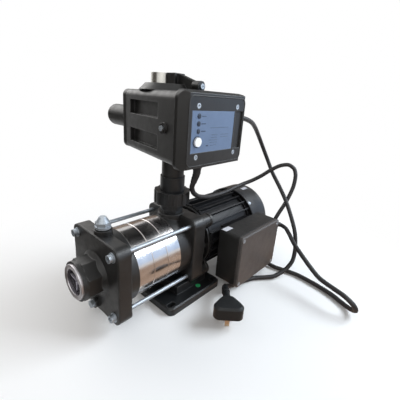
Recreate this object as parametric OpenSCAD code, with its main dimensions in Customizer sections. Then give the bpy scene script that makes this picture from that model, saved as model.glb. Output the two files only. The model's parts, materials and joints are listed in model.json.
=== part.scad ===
// Horizontal multistage pump with a pressure controller on its discharge port.
// X runs along the shaft, from the suction port to the fan cover, and Z is up.
// The origin is on the floor, under the discharge port and midway between the base slots.

/* [Pump] */
// Height of the shaft above the floor
shaft_h = 75; // [72:1:110]
// Outer diameter of the stainless stage casings
casing_d = 101; // [96:0.5:106]
// Length of one stage
stage_l = 24.6; // [24:0.2:30]
// Sheet thickness of a stage casing
casing_wall = 1.2; // [0.8:0.1:1.6]
// Air between the casings and the tie rods
rod_air = 7.3; // [5.9:0.1:9]
// Diameter of a tie rod
rod_d = 6; // [5:0.5:8]
// Diameter of the corner lobes that carry the tie rods
lobe_d = 22; // [18:1:24]
// Thickness of the suction flange
flange_l = 19; // [14:1:26]
// Length of the round skirt behind the suction flange
skirt_l = 14; // [10:1:20]
// Length of the discharge ring in front of its lobes
ring_l = 22.3; // [20:0.5:30]
// Length of the discharge body from the rod seats back
discharge_l = 23; // [22:1:30]
// Outer diameter of a closed impeller
impeller_d = 78; // [66:1:80]
// Diameter of the shaft in the pump
shaft_d = 12; // [10:0.5:13]

/* [Ports] */
// Bore of a female one-inch pipe thread
port_bore_d = 30.3; // [24:0.1:32]
// Outer diameter of the suction insert
insert_d = 46; // [42:0.5:48]
// Width across flats of the suction octagon
octagon_af = 52; // [50:1:60]
// Length of the suction octagon in front of its flange
octagon_l = 27; // [22:1:36]
// Outer diameter of a male one-inch pipe thread
pipe_d = 33.2; // [30:0.1:34]

/* [Motor] */
// Length of the lantern between pump and motor
lantern_l = 18; // [16:1:26]
// Diameter of the motor frame under its fins
frame_d = 100; // [98:1:104]
// Height of a cooling fin
fin_h = 7; // [4:0.5:8]
// Thickness of a cooling fin
fin_t = 2.2; // [1.6:0.1:3]
// Fins round the whole frame
fin_n = 24; // [20:4:36]
// Length of the finned frame
frame_l = 118; // [105:1:140]
// How far the fan cover stands out round the frame
fan_cover_rim = 10; // [9.5:0.5:13]
// Length of the fan cover
fan_cover_l = 52; // [46:1:60]
// Blades on the fan
fan_blades = 8; // [5:1:11]

/* [Base] */
// Length of the base plate along the shaft
base_l = 112; // [108:1:130]
// Width of the base plate
base_w = 135; // [130:1:150]
// Thickness of the base plate
base_t = 12; // [9:0.5:14]
// From a slot's centre to the end of the base plate, along the shaft
slot_edge_x = 9; // [8:0.5:12]
// From a slot's centre to the side of the base plate
slot_edge_y = 9.5; // [8.5:0.5:12]
// Width of a fixing slot
slot_w = 8; // [6:0.5:9]
// Length of a fixing slot
slot_l = 14; // [11:0.5:15]

/* [Terminal box] */
// Length of the terminal box along the shaft
box_l = 117; // [110:1:130]
// Height of the terminal box
box_h = 89; // [80:1:92]
// Depth of the terminal box under its cover
box_depth = 36.5; // [34:0.5:44]
// Thickness of the terminal cover
cover_t = 6; // [4:0.5:8]
// Wall of the terminal box
box_wall = 2.5; // [2:0.1:3.5]

/* [Union] */
// Diameter of the union nut over its ribs
nut_d = 54.6; // [54:0.2:60]
// Height of the union nut
nut_h = 19; // [17:0.5:24]
// Ribs on the union nut
nut_ribs = 12; // [8:1:18]
// Outer diameter of the union sockets
socket_d = 36.8; // [36:0.1:38]

/* [Controller] */
// Width of the controller housing
housing_w = 120; // [116:1:130]
// Height of the controller housing
housing_h = 92; // [90:1:100]
// Distance from the inlet axis to the label face
face_y = 78; // [74:1:86]
// Depth of the tapered body behind the housing
body_depth = 136; // [130:1:146]
// Width of the body at its rear face
body_rear_w = 60; // [56:1:70]
// Distance of the outlet axis behind the inlet axis
outlet_y = 28; // [20:1:32]
// Width of the label panel
label_w = 79; // [70:1:80]
// Height of the label panel
label_h = 48; // [40:1:50]
// Travel of the reset button
button_travel = 1.5; // [1:0.1:2]
// Travel of the check valve
valve_travel = 8; // [4:0.5:9]

/* [Leads] */
// Diameter of both round leads
lead_d = 7.5; // [6:0.1:8]

/* [Hidden] */
$fn = 64;

// How far a cut runs past the face that it opens
over = 1;
// Thickness of the slices between which a tapered body is stretched
slice_t = 0.5;
// Air between pieces that move past each other
run_gap = 0.3;
// Radial air of a shaft in its bearing
bearing_gap = 0.03;
// Air round a screw head in its recess
head_gap = 0.25;

// Places along the shaft, counted from the port axis
seat_back = 1;
seat_x = -seat_back;
ring_x = seat_x - ring_l;
stages = 3;
stack_x = ring_x - stages * stage_l;
skirt_x = stack_x - skirt_l;
cover_x = skirt_x - flange_l;
slot_pitch_x = base_l - 2 * slot_edge_x;
slot_pitch_y = base_w - 2 * slot_edge_y;
bracket_x = seat_x + discharge_l;
rod_pitch = (casing_d + rod_d + 2 * rod_air) / sqrt(2);
motor_x = bracket_x + lantern_l;
shield_x = motor_x + frame_l;

// Suction cover
cover_lip = 4;
cover_r = casing_d / 2 + cover_lip;
lobe_inset = 0.4;
skirt_lip = 1;
skirt_r = casing_d / 2 + skirt_lip;
chamber_wall = 6;
chamber_h = 12;
eye_wall = 3;
eye_flare = 0.5;
priming_x = 13.5;
priming_boss_d = 23;
priming_rise = 9.5;
priming_boss_h = casing_d / 2 + priming_rise;
priming_bore_d = 11;
drain_z = 44.6;
drain_boss_d = 15;
drain_boss_l = 5;
drain_bore_d = 8.6;
octagon_sides = 8;
collar_l = 5;
flare_l = 6;
flare_w = 4;

// Suction insert and its cross rib
insert_lip = 3;
insert_l = 22;
insert_chamfer = 1.5;
cross_t = 2.4;
cross_l = 3;
throat_step = 1.5;
throat_flare = 1;
throat_d = port_bore_d + 2 * throat_step;

// Plugs
plug_collar_d = 20;
plug_collar_h = 3;
plug_hex_af = 17;
plug_hex_h = 5;
plug_hex_turn = 15;
plug_dome_h = 7;
plug_top_share = 0.5;
plug_thread_l = 9;
washer_t = 1.6;
drain_hex_af = 9;
drain_hex_h = 5;
drain_thread_l = 7;

// Stage casings, diffusers and impellers
bead_r = 0.9;
eye_d = 34;
diffuser_plate_t = 2;
diffuser_fit = 0.2;
vane_n = 7;
vane_t = 1.8;
vane_steps = 6;
guide_lean = 55;
guide_t = 2;
guide_gap = 2;
guide_root = 0.5;
impeller_x = 3;
shroud_t = 1.2;
impeller_w = 9;
hub_d = 19;
hub_tail = 1.2;
neck_wall = 1.4;
neck_gap = 0.5;
blade_n = 6;
blade_t = 1.6;
blade_sweep = 75;
blade_steps = 8;

// Discharge casing
casting_wall = 4.5;
back_wall = 8;
body_lip = 1.5;
port_boss_d = 42;
port_pad_rise = 4.5;
port_pad_h = casing_d / 2 + port_pad_rise;
seal_bore_d = 26;
seal_step = 5;

// Tie rods
rod_thread_l = 12;
washer_d = 13;
head_d = 10;
head_h = 5;
socket_af = 5;
socket_depth = 3;
rod_clear = 0.25;

// Mechanical seal
seal_d = 25;
seal_l = 18;
seal_inset = 0.5;

// Lantern and bearings
lantern_plate = 4;
post_d = 20;
bearing_d = 35;
bearing_w = 11;
bearing_bore_d = 15;
housing_wall = 4.5;
web_t = 5;
web_n = 4;
shaft_pass = 1;

// Shaft steps
nut_l = 6;
nut_af = 18;
rotor_seat_d = 18;
fan_seat_d = 12;
fan_seat_l = 30;

// Motor
frame_wall = 4.5;
flange_t = 6;
ear_d = 15;
ear_r = 52;
stator_l = 60;
stator_bore_d = 52;
stator_inset = 28;
air_gap = 0.5;
winding_l = 15;
winding_wall = 11;
shield_l = 8;
shield_hub_l = 12;
pad_w = 70;
pad_h = 46;
pad_margin = 0.5;

// Fan and fan cover
fan_wall = 1.8;
fan_cover_d = frame_d + 2 * fan_cover_rim;
fan_tip_gap = 6.2;
fan_gap_l = 7;
fan_w = 20;
fan_d = fan_cover_d - 2 * fan_wall - 2 * fan_tip_gap;
fan_hub_d = 26;
fan_disc_t = 2;
fan_blade_t = 2;
cover_round = 9;
grille_rings = 3;
grille_pitch = 12;
grille_slot_w = 5;
grille_bridge_w = 5;
grille_bridges = 8;
grille_start_r = 14;
cover_overlap = 1;
screw_d = 4;
screw_head_d = 8;
screw_head_h = 1.6;
screw_l = 8;

// Base plate and pedestal
base_round = 8;
rim_t = 7;
top_skin = 5;
pedestal_w = 97;
pedestal_l = 64;
pedestal_back = 26;
pedestal_wall = 6;
plate_bevel = 2;

// Terminal box
box_x = 51;
box_z = 15;
box_stand = 10.5;
box_y = frame_d / 2 + box_stand;
box_round = 5;
gasket_t = 1;
screw_inset = 6;
screw_post_d = 9;
cover_screw_d = 4;
cover_head_d = 7;
cover_head_h = 1.6;
cover_step = 1.2;
block_l = 44;
block_w = 18;
block_t = 14;
capacitor_d = 30;
capacitor_l = 70;
gland_z = 63;
gland_in = 23.5;
gland_hex_af = 18;
gland_hex_l = 6;
gland_stem_d = 12;
gland_cap_d = 15;
gland_cap_l = 10;

// Union
tail_hex_af = 30;
tail_hex_h = 6;
tail_hex_turn = 10;
tail_neck_d = 35;
tail_neck_h = 10;
thread_h = 9;
collar_h = 5.7;
tail_head_d = 47.6;
tail_thread_l = 12;
union_bore_d = 24;
socket_flange_h = 3.4;
socket_top_h = 112;
nut_core_d = 51.6;
nut_rib_w = 6;
ring_tube_d = 2;
ring_r = 19;

// Controller
ctl_z = 262;
spigot_end_h = 173;
face_round = 8;
housing_round = 10;
bevel_y = 11;
bevel_w = 8;
bevel_h = 3;
housing_depth = 16;
body_y = housing_depth - face_y;
rear_y = body_y + body_depth;
housing_wall_t = 3;
cavity_w = 98;
cavity_h = 78;
body_round = 10;
body_front_w = 114;
body_h = 88;
rear_round = 9;
passage_d = 24;
valve_chamber_d = 38;
valve_chamber_h = 52;
valve_chamber_z = 236;
valve_disc_d = 32;
valve_disc_t = 4;
valve_stem_d = 8;
valve_stem_h = 26;
diaphragm_chamber_d = 44;
diaphragm_chamber_l = 46;
pocket_start = 42;
pocket_l = 82;
pocket_rib = 20;
pocket_top = 58;
pocket_depth = 7;
boss_d = 84;
boss_h = 8;
boss_top_d = 66;
lug_d = 13;
lug_l = 12;
lug_y = 46;
lug_side_x = 55;
lug_side_y = 36;
lug_top_h = 51;
bridge_w = 18;
bridge_l = 34;
bridge_h = 14;
web_w = 7;
web_h = 10;
nipple_h = 14;
nipple_wall = 3.5;
nipple_bed = 8;
nipple_step = 1;
nipple_bed_d = pipe_d - 2 * nipple_step;
fitting_gap = 3;

// Rear cover, diaphragm and spring
rear_plate_t = 8;
dome_l = 16;
dome_w = 50;
dome_h = 38;
cap_d = 34.6;
cap_l = 55;
cap_round = 8;
cap_wall = 3;
diaphragm_t = 2;
diaphragm_d = 54;
spring_d = 22;
spring_wire = 2.4;

// Label face
label_t = 0.8;
label_x = -8;
strip_w = 16;
strip_depth = 2;
strip_gap = 3;
lens_d = 4;
lens_x = -36;
lens_top = 18;
lens_pitch = 8.5;
lens_n = 3;
lens_proud = 0.6;
button_d = 11;
button_x = -37;
button_z = -11;
button_proud = 2.4;
button_stem_d = 6;
button_well = 6;
board_t = 1.6;
board_w = 96;
board_h = 70;
face_screw_x = 37.3;
face_screw_z = 29.3;
face_head_d = 6.5;
face_head_h = 2;
face_screw_d = 3.6;

// Controller glands
lead_gland_d = 14;
lead_gland_l = 10;
lead_gland_lip = 2;
plug_gland_end = 75;
plug_gland_l = 26;
plug_gland_y = 42;
plug_gland_z = 13;
motor_gland_y = 45;
motor_gland_x = 3;

// Plug
plug_turn = 42;
plug_x = -3;
plug_y = -127;
plug_pin_l = 16;
plug_h = 19;
plug_w = 42;
plug_depth = 31;
plug_round = 9;
plug_crown_share = 0.86;
neck_l = 16;
neck_w = 13;
neck_tip_share = 0.75;
neck_z = 25;
pin_w = 6.3;
pin_t = 1.6;
pin_spread = 7.9;
pin_tilt = 30;
pin_bed = 4;

// Route of the motor lead, from the controller over the motor to the terminal box
motor_route = [
    [3, -45, 208], [3, -45, 200], [3, -41, 188], [6, -35, 176], [16, -30, 164], [32, -26, 154],
    [54, -18, 146], [78, -11, 139], [98, -9, 137], [118, -9, 137], [134, -9, 138], [150, -9, 140],
    [168, -10, 142], [182, -13, 145], [196, -20, 150], [208, -33, 161], [217, -46, 174],
    [226, -60, 185], [233, -74, 189], [237, -85, 183], [235, -91, 171], [229, -93, 150],
    [216, -90, 122], [199, -85, 97], [188, -80, 70], [181, -77, 46], [177, -78, 26], [174, -85, 11],
    [173, -98, 5], [174, -112, 4], [178, -128, 4], [182, -148, 4], [181, -168, 4], [178, -190, 4],
    [172, -215, 4], [163, -235, 4], [155, -248, 6], [147, -257, 13], [141, -253, 24],
    [142, -238, 31], [147, -216, 33], [152, -195, 36], [158, -173, 47], [165, -153, 58],
    [175, -135, 66], [189, -119, 72], [202, -105, 75], [205, -93, 77], [200, -86, 78],
    [192, -84, 78], [184, -84, 78]];

// Route of the plug lead, from the controller down past the terminal box to the plug
plug_route = [
    [75, -42, 275], [84, -42, 275], [98, -42, 274], [115, -42, 272], [140, -38, 266], [165, -31, 256],
    [190, -26, 239], [212, -26, 216], [226, -32, 192], [228, -46, 168], [220, -68, 148],
    [208, -92, 127], [200, -111, 103], [195, -126, 77], [190, -134, 51], [182, -137, 29],
    [170, -134, 16], [158, -129, 9], [143, -123, 5], [128, -112, 4], [113, -101, 4], [95, -94, 4],
    [76, -90, 5], [58, -87, 8], [44, -88, 14], [33, -95, 21], [20, -106, 25]];

lead_sides = 10;

// Turns a child whose axis is Z so that it lies along the shaft, starting at x
module on_shaft(x = 0) {
    translate([x, 0, shaft_h])
        rotate([0, 90, 0])
            children();
}

// Places a child at each of the four tie rods, in the frame of on_shaft
module at_rods() {
    for (side = [-1, 1], level = [-1, 1])
        translate([level * rod_pitch / 2, side * rod_pitch / 2, 0])
            children();
}

// Ring with an outer and an inner radius
module tube(outer_d, inner_d, length) {
    difference() {
        cylinder(d = outer_d, h = length);
        translate([0, 0, -over])
            cylinder(d = inner_d, h = length + 2 * over);
    }
}

// Prism with a regular outline, given by its width across flats
module prism(across_flats, height, sides = 6, turn = 0) {
    rotate([0, 0, turn])
        cylinder(d = across_flats / cos(180 / sides), h = height, $fn = sides);
}

// Rectangle with round corners, centred
module round_rect(width, height, radius) {
    square([width - 2 * radius, height], center = true);
    square([width, height - 2 * radius], center = true);
    for (sx = [-1, 1], sy = [-1, 1])
        translate([sx * (width / 2 - radius), sy * (height / 2 - radius)])
            circle(r = radius);
}

// Flange outline: a disc with four straight-sided corner lobes
module lobed_disc(radius) {
    circle(r = radius, $fn = 96);
    for (turn = [45, 135])
        rotate(turn)
            square([rod_pitch * sqrt(2), lobe_d - 2 * lobe_inset], center = true);
    for (sx = [-1, 1], sy = [-1, 1])
        translate([sx * rod_pitch / 2, sy * rod_pitch / 2])
            circle(d = lobe_d);
}

// Points of one swept blade: out along one face and back along the other
function blade_angle(r, r0, r1, sweep) = -sweep * (r - r0) / (r1 - r0);
function blade_side(r0, r1, sweep, shift, steps) = [for (i = [0:steps])
    let (r = r0 + (r1 - r0) * i / steps, a = blade_angle(r, r0, r1, sweep))
    [r * cos(a) - shift * sin(a), r * sin(a) + shift * cos(a)]];
function reversed(list) = [for (i = [len(list) - 1:-1:0]) list[i]];

module swept_blade(r0, r1, sweep, thickness, steps) {
    polygon(concat(blade_side(r0, r1, sweep, thickness / 2, steps),
        reversed(blade_side(r0, r1, sweep, -thickness / 2, steps))));
}

// Round lead swept along its route, one ring of points at each stop
function unit(v) = v / norm(v);
function stop_dir(path, i) = unit(path[min(i + 1, len(path) - 1)] - path[max(i - 1, 0)]);
function carried(side, dir) = unit(side - (side * dir) * dir);
function sides_along(path, i = 0, side = [0, 0, 1]) = i == len(path) ? [] :
    let (s = carried(side, stop_dir(path, i))) concat([s], sides_along(path, i + 1, s));
function start_side(path) = abs(stop_dir(path, 0)[2]) > abs(stop_dir(path, 0)[0]) ? [1, 0, 0] : [0, 0, 1];
function ring_points(centre, dir, side, d, n) = [for (k = [0:n - 1])
    centre + d / 2 * (cos(360 * k / n) * side + sin(360 * k / n) * cross(dir, side))];

module lead(path) {
    n = lead_sides;
    last = len(path) - 1;
    side = sides_along(path, 0, start_side(path));
    rings = [for (i = [0:last]) each ring_points(path[i], stop_dir(path, i), side[i], lead_d, n)];
    walls = [for (i = [0:last - 1], k = [0:n - 1])
        let (a = i * n + k, b = i * n + (k + 1) % n) each [[a, a + n, b + n], [a, b + n, b]]];
    polyhedron(points = rings, faces = concat([[for (k = [0:n - 1]) k]], walls,
        [[for (k = [n - 1:-1:0]) last * n + k]]), convexity = 10);
}

// Suction cover: lobed flange, octagonal port boss, skirt, priming and drain bosses
module suction_cover() {
    chamber_r = casing_d / 2 - chamber_wall;
    total_l = flange_l + skirt_l;
    octagon_d = octagon_af / cos(180 / octagon_sides);
    throat_z = insert_l - insert_lip - octagon_l;
    chamber_z = total_l - eye_wall - chamber_h;
    eye_hole_d = eye_d + 2 * neck_gap;
    color("#26282b")
    difference() {
        union() {
            on_shaft(cover_x) {
                linear_extrude(flange_l)
                    lobed_disc(cover_r);
                translate([0, 0, flange_l])
                    cylinder(r = skirt_r, h = skirt_l);
                translate([0, 0, collar_l - octagon_l])
                    prism(octagon_af, octagon_l - collar_l + over, octagon_sides, 180 / octagon_sides);
                translate([0, 0, -octagon_l])
                    cylinder(d = octagon_af, h = collar_l + over);
                translate([0, 0, -flare_l])
                    cylinder(d1 = octagon_af, d2 = octagon_d + 2 * flare_w, h = flare_l);
                translate([drain_z, 0, -drain_boss_l])
                    cylinder(d = drain_boss_d, h = drain_boss_l + over);
            }
            translate([cover_x + priming_x, 0, shaft_h])
                cylinder(d = priming_boss_d, h = priming_boss_h);
        }
        on_shaft(cover_x) {
            translate([0, 0, -octagon_l - over])
                cylinder(d = insert_d, h = insert_l - insert_lip + over);
            translate([0, 0, throat_z - over])
                cylinder(d1 = throat_d, d2 = throat_d + 2 * throat_flare,
                    h = chamber_z - throat_z + 2 * over);
            translate([0, 0, chamber_z])
                cylinder(r = chamber_r, h = chamber_h);
            translate([0, 0, total_l - eye_wall - over])
                cylinder(d1 = eye_hole_d + 2 * eye_flare, d2 = eye_hole_d, h = eye_wall + 2 * over);
            at_rods()
                translate([0, 0, -over])
                    cylinder(d = rod_d + 2 * rod_clear, h = flange_l + 2 * over);
            translate([drain_z, 0, -drain_boss_l - over])
                cylinder(d = drain_bore_d, h = drain_thread_l + over);
        }
        translate([cover_x + priming_x, 0, shaft_h + priming_boss_h - plug_thread_l])
            cylinder(d = priming_bore_d, h = plug_thread_l + over);
    }
}

// Threaded metal insert of the suction port, with its cross rib
module suction_insert() {
    color("#b9bcbd")
    on_shaft(cover_x - octagon_l - insert_lip)
        difference() {
            union() {
                tube(insert_d, port_bore_d, insert_l - cross_l);
                translate([0, 0, insert_l - cross_l]) {
                    tube(insert_d, throat_d, cross_l);
                    for (turn = [0, 90])
                        rotate(turn)
                            translate([-throat_d / 2 - over, -cross_t / 2, 0])
                                cube([throat_d + 2 * over, cross_t, cross_l]);
                }
            }
            translate([0, 0, -insert_chamfer])
                cylinder(d1 = port_bore_d + 4 * insert_chamfer, d2 = port_bore_d, h = 2 * insert_chamfer);
        }
}

// Priming plug: threaded stud, collar, hexagon and domed top
module priming_plug() {
    collar_z = shaft_h + priming_boss_h + washer_t;
    color("#c9cccd")
    translate([cover_x + priming_x, 0, collar_z]) {
        translate([0, 0, -washer_t - plug_thread_l])
            cylinder(d = priming_bore_d, h = plug_thread_l + washer_t + over);
        cylinder(d = plug_collar_d, h = plug_collar_h);
        translate([0, 0, plug_collar_h])
            prism(plug_hex_af, plug_hex_h, 6, plug_hex_turn);
        translate([0, 0, plug_collar_h + plug_hex_h])
            cylinder(d1 = plug_hex_af, d2 = plug_hex_af * plug_top_share, h = plug_dome_h);
    }
}

module priming_washer() {
    color("#1a1a1a")
    translate([cover_x + priming_x, 0, shaft_h + priming_boss_h])
        tube(plug_collar_d, priming_bore_d, washer_t);
}

// Drain plug, screwed in along the shaft direction
module drain_plug() {
    color("#c9cccd")
    on_shaft(cover_x - drain_boss_l)
        translate([drain_z, 0, 0]) {
            cylinder(d = drain_bore_d, h = drain_thread_l);
            translate([0, 0, -drain_hex_h])
                prism(drain_hex_af, drain_hex_h);
        }
}

// Stage casing: a thin cup with a rolled lip at each end and an eye in its floor
module stage_casing(number) {
    r = casing_d / 2;
    w = casing_wall;
    color("#d3d6d8")
    on_shaft(stack_x + (number - 1) * stage_l)
        rotate_extrude($fn = 128)
            difference() {
                union() {
                    translate([r - w, bead_r])
                        square([w, stage_l - 2 * bead_r]);
                    translate([r - w, 0])
                        square([w - bead_r / 2, stage_l]);
                    translate([eye_d / 2 + neck_gap, stage_l - w])
                        square([r - bead_r / 2 - eye_d / 2 - neck_gap, w]);
                    for (z = [bead_r, stage_l - bead_r])
                        translate([r - bead_r, z])
                            circle(r = bead_r, $fn = 24);
                }
                translate([0, w - bead_r])
                    square([r - w, stage_l - 2 * w + bead_r]);
            }
}

// Diffuser: a plate behind the impeller with return vanes and a ring of guide vanes
module diffuser(number) {
    outer_r = casing_d / 2 - casing_wall - diffuser_fit;
    guide_r = impeller_d / 2 + guide_gap;
    start_r = guide_r - guide_root;
    ring_mid_r = outer_r - vane_t / 2;
    guide_l = sqrt(pow(ring_mid_r, 2) - pow(start_r * sin(guide_lean), 2)) - start_r * cos(guide_lean);
    plate_z = impeller_x + impeller_w + run_gap;
    floor_z = stage_l - casing_wall;
    color("#4a4d50")
    on_shaft(stack_x + (number - 1) * stage_l) {
        translate([0, 0, plate_z])
            tube(2 * guide_r, hub_d + 2 * run_gap, diffuser_plate_t);
        for (k = [0:vane_n - 1])
            rotate(360 * k / vane_n) {
                translate([0, 0, plate_z + diffuser_plate_t - vane_t / 2])
                    linear_extrude(floor_z - plate_z - diffuser_plate_t)
                        swept_blade(eye_d / 2 + vane_t, guide_r - 2 * vane_t, -blade_sweep, vane_t, vane_steps);
                translate([start_r, 0, impeller_x + vane_t / 2])
                    rotate(guide_lean)
                        translate([0, -guide_t / 2, 0])
                            cube([guide_l, guide_t, floor_z - impeller_x - vane_t]);
            }
        translate([0, 0, impeller_x])
            tube(2 * outer_r, 2 * (outer_r - vane_t), floor_z - impeller_x);
    }
}

// Closed impeller: eye neck, two shrouds, swept blades and a hub on the shaft
module impeller(number) {
    r = impeller_d / 2;
    eye_r = eye_d / 2;
    neck_l = impeller_x + casing_wall;
    color("#8d9194")
    on_shaft(stack_x + (number - 1) * stage_l + impeller_x) {
        translate([0, 0, -neck_l])
            tube(2 * eye_r, 2 * (eye_r - neck_wall), neck_l + shroud_t);
        tube(impeller_d, 2 * (eye_r - neck_wall), shroud_t);
        for (k = [0:blade_n - 1])
            rotate(360 * k / blade_n)
                translate([0, 0, shroud_t / 2])
                    linear_extrude(impeller_w - shroud_t)
                        swept_blade(eye_r - neck_wall, r - blade_t / 2, blade_sweep, blade_t, blade_steps);
        translate([0, 0, impeller_w - shroud_t])
            tube(impeller_d, shaft_d, shroud_t);
        translate([0, 0, -neck_l])
            tube(hub_d, shaft_d, stage_l);
    }
}

// Discharge casing: ring over the last stage, lobed body, port boss and seal wall
module discharge_casing() {
    inner_d = casing_d - 2 * casting_wall;
    body_l = discharge_l;
    total_l = ring_l + discharge_l;
    color("#232527")
    difference() {
        union() {
            on_shaft(ring_x)
                cylinder(d = casing_d, h = ring_l + over, $fn = 128);
            on_shaft(seat_x)
                linear_extrude(body_l)
                    lobed_disc(casing_d / 2 + body_lip);
            translate([0, 0, shaft_h])
                cylinder(d = port_boss_d, h = port_pad_h);
        }
        on_shaft(ring_x) {
            translate([0, 0, -over])
                cylinder(d = inner_d, h = total_l - back_wall + over);
            cylinder(d = shaft_d + 2 * shaft_pass, h = total_l + over);
            translate([0, 0, total_l - back_wall - over])
                cylinder(d = seal_bore_d, h = seal_step + over);
        }
        translate([0, 0, shaft_h + casing_d / 2 - 2 * casting_wall])
            cylinder(d = port_bore_d, h = port_pad_h);
        on_shaft(seat_x)
            at_rods()
                translate([0, 0, -over])
                    cylinder(d = rod_d, h = rod_thread_l + over);
    }
}

// Four tie rods with socket heads in front of the suction flange
module tie_rods() {
    rod_l = seat_x - cover_x + rod_thread_l;
    color("#c4c7c9")
    on_shaft(cover_x)
        at_rods()
            difference() {
                union() {
                    translate([0, 0, -washer_t])
                        cylinder(d = rod_d, h = rod_l + washer_t);
                    translate([0, 0, -washer_t - head_h])
                        cylinder(d = head_d, h = head_h);
                }
                translate([0, 0, -washer_t - head_h - over])
                    prism(socket_af, socket_depth + over);
            }
}

module tie_washers() {
    color("#c4c7c9")
    on_shaft(cover_x)
        at_rods()
            translate([0, 0, -washer_t])
                tube(washer_d, rod_d + 2 * rod_clear, washer_t);
}

// Stepped shaft through the impellers, the bearings, the rotor and the fan
module shaft() {
    front_x = stack_x - casing_wall;
    journal_x = bracket_x + run_gap;
    rotor_x = motor_x + stator_inset - winding_l;
    rotor_end_x = motor_x + stator_inset + stator_l + winding_l;
    fan_x = shield_x + shield_l + run_gap;
    color("#aeb2b5") {
        on_shaft(front_x - nut_l) {
            cylinder(d = shaft_d, h = journal_x - front_x + nut_l);
            prism(nut_af, nut_l);
        }
        on_shaft(journal_x)
            cylinder(d = bearing_bore_d - 2 * bearing_gap, h = fan_x - journal_x);
        on_shaft(rotor_x)
            cylinder(d = rotor_seat_d, h = rotor_end_x - rotor_x);
        on_shaft(fan_x)
            cylinder(d = fan_seat_d, h = fan_seat_l);
    }
}

// Rotating half of the mechanical seal
module seal_head() {
    wall_x = bracket_x - back_wall;
    color("#3b3b3d")
    on_shaft(wall_x - seal_l)
        tube(seal_d - 2 * seal_inset, shaft_d, seal_l - run_gap);
}

// Ceramic seat of the mechanical seal in the discharge casing
module seal_seat() {
    wall_x = bracket_x - back_wall;
    color("#e6e2d8")
    on_shaft(wall_x)
        tube(seal_bore_d, shaft_d + 2 * shaft_pass, seal_step);
}

// Lantern: front plate, four corner posts, rear flange and the front bearing housing
module lantern() {
    outer_r = casing_d / 2 + body_lip;
    color("#232527")
    on_shaft(bracket_x)
        difference() {
            union() {
                linear_extrude(lantern_plate)
                    lobed_disc(outer_r);
                translate([0, 0, lantern_l - lantern_plate])
                    linear_extrude(lantern_plate)
                        lobed_disc(outer_r);
                at_rods()
                    cylinder(d = post_d, h = lantern_l);
                cylinder(d = bearing_d + 2 * housing_wall, h = lantern_l);
                for (k = [0:web_n - 1])
                    rotate(90 * k)
                        translate([0, -web_t / 2, 0])
                            cube([outer_r - web_t, web_t, lantern_l]);
            }
            translate([0, 0, -over])
                cylinder(d = bearing_bore_d + 2 * shaft_pass, h = lantern_l + 2 * over);
            translate([0, 0, lantern_l - bearing_w])
                cylinder(d = bearing_d, h = bearing_w + over);
        }
}

module bearing() {
    tube(bearing_d, bearing_bore_d, bearing_w);
}

module front_bearing() {
    color("#9da1a4")
    on_shaft(motor_x - bearing_w)
        bearing();
}

module rear_bearing() {
    color("#9da1a4")
    on_shaft(shield_x + shield_l - bearing_w)
        bearing();
}

// Finned motor frame with end flanges, bolt ears and the pad of the terminal box
module motor_frame() {
    bore_d = frame_d - 2 * frame_wall;
    fin_r = frame_d / 2 + fin_h;
    color("#1e1f21")
    difference() {
        union() {
            on_shaft(motor_x) {
                cylinder(d = frame_d, h = frame_l, $fn = 128);
                for (z = [0, frame_l - flange_t])
                    translate([0, 0, z])
                        cylinder(d = frame_d + fin_h, h = flange_t, $fn = 128);
                intersection() {
                    cylinder(r = fin_r, h = frame_l, $fn = 128);
                    for (k = [0:fin_n / 2 - 1])
                        rotate(360 * (k + 0.5) / fin_n)
                            translate([-fin_r, -fin_t / 2, 0])
                                cube([2 * fin_r, fin_t, frame_l]);
                }
            }
            terminal_pad();
        }
        on_shaft(motor_x)
            translate([0, 0, -over])
                cylinder(d = bore_d, h = frame_l + 2 * over, $fn = 128);
    }
}

// Raised pad on the side of the frame that the terminal box is screwed to
module terminal_pad() {
    translate([box_x + (box_l - pad_w) / 2, -box_y, shaft_h - pad_h / 2])
        cube([pad_w, box_y, pad_h]);
}

module stator_core() {
    bore_d = frame_d - 2 * frame_wall;
    color("#6d7073")
    on_shaft(motor_x + stator_inset)
        tube(bore_d, stator_bore_d, stator_l);
}

// Copper end turns at both ends of the stator core
module windings() {
    outer_d = frame_d - 2 * frame_wall - 4 * run_gap;
    color("#b5652d")
    for (x = [motor_x + stator_inset - winding_l, motor_x + stator_inset + stator_l])
        on_shaft(x)
            tube(outer_d, outer_d - 2 * winding_wall, winding_l);
}

module rotor_core() {
    color("#84888b")
    on_shaft(motor_x + stator_inset)
        tube(stator_bore_d - 2 * air_gap, rotor_seat_d, stator_l);
}

// Rear shield: closes the frame and carries the rear bearing
module rear_shield() {
    inner_cover_d = fan_cover_d - 2 * fan_wall;
    hub_outer_d = bearing_d + 2 * housing_wall;
    color("#1e1f21")
    difference() {
        on_shaft(shield_x) {
            cylinder(d = inner_cover_d, h = shield_l - web_t / 2, $fn = 128);
            translate([0, 0, -shield_hub_l])
                cylinder(d = hub_outer_d, h = shield_hub_l + shield_l);
        }
        on_shaft(shield_x) {
            translate([0, 0, -shield_hub_l - over])
                cylinder(d = bearing_bore_d + 2 * shaft_pass, h = shield_hub_l + shield_l + 2 * over);
            translate([0, 0, shield_l - bearing_w])
                cylinder(d = bearing_d, h = bearing_w + over);
        }
        at_fan_screws(fan_cover_d / 2 - screw_l)
            cylinder(d = screw_d, h = screw_l);
    }
}

// Cooling fan with straight blades on a disc
module fan() {
    blade_start_r = fan_hub_d / 2 - fan_blade_t;
    color("#2e3032")
    on_shaft(shield_x + shield_l + fan_gap_l) {
        tube(fan_hub_d, fan_seat_d, fan_w);
        tube(fan_d, fan_seat_d, fan_disc_t);
        for (k = [0:fan_blades - 1])
            rotate(360 * k / fan_blades)
                translate([blade_start_r, -fan_blade_t / 2, 0])
                    cube([fan_d / 2 - blade_start_r, fan_blade_t, fan_w]);
    }
}

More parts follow.
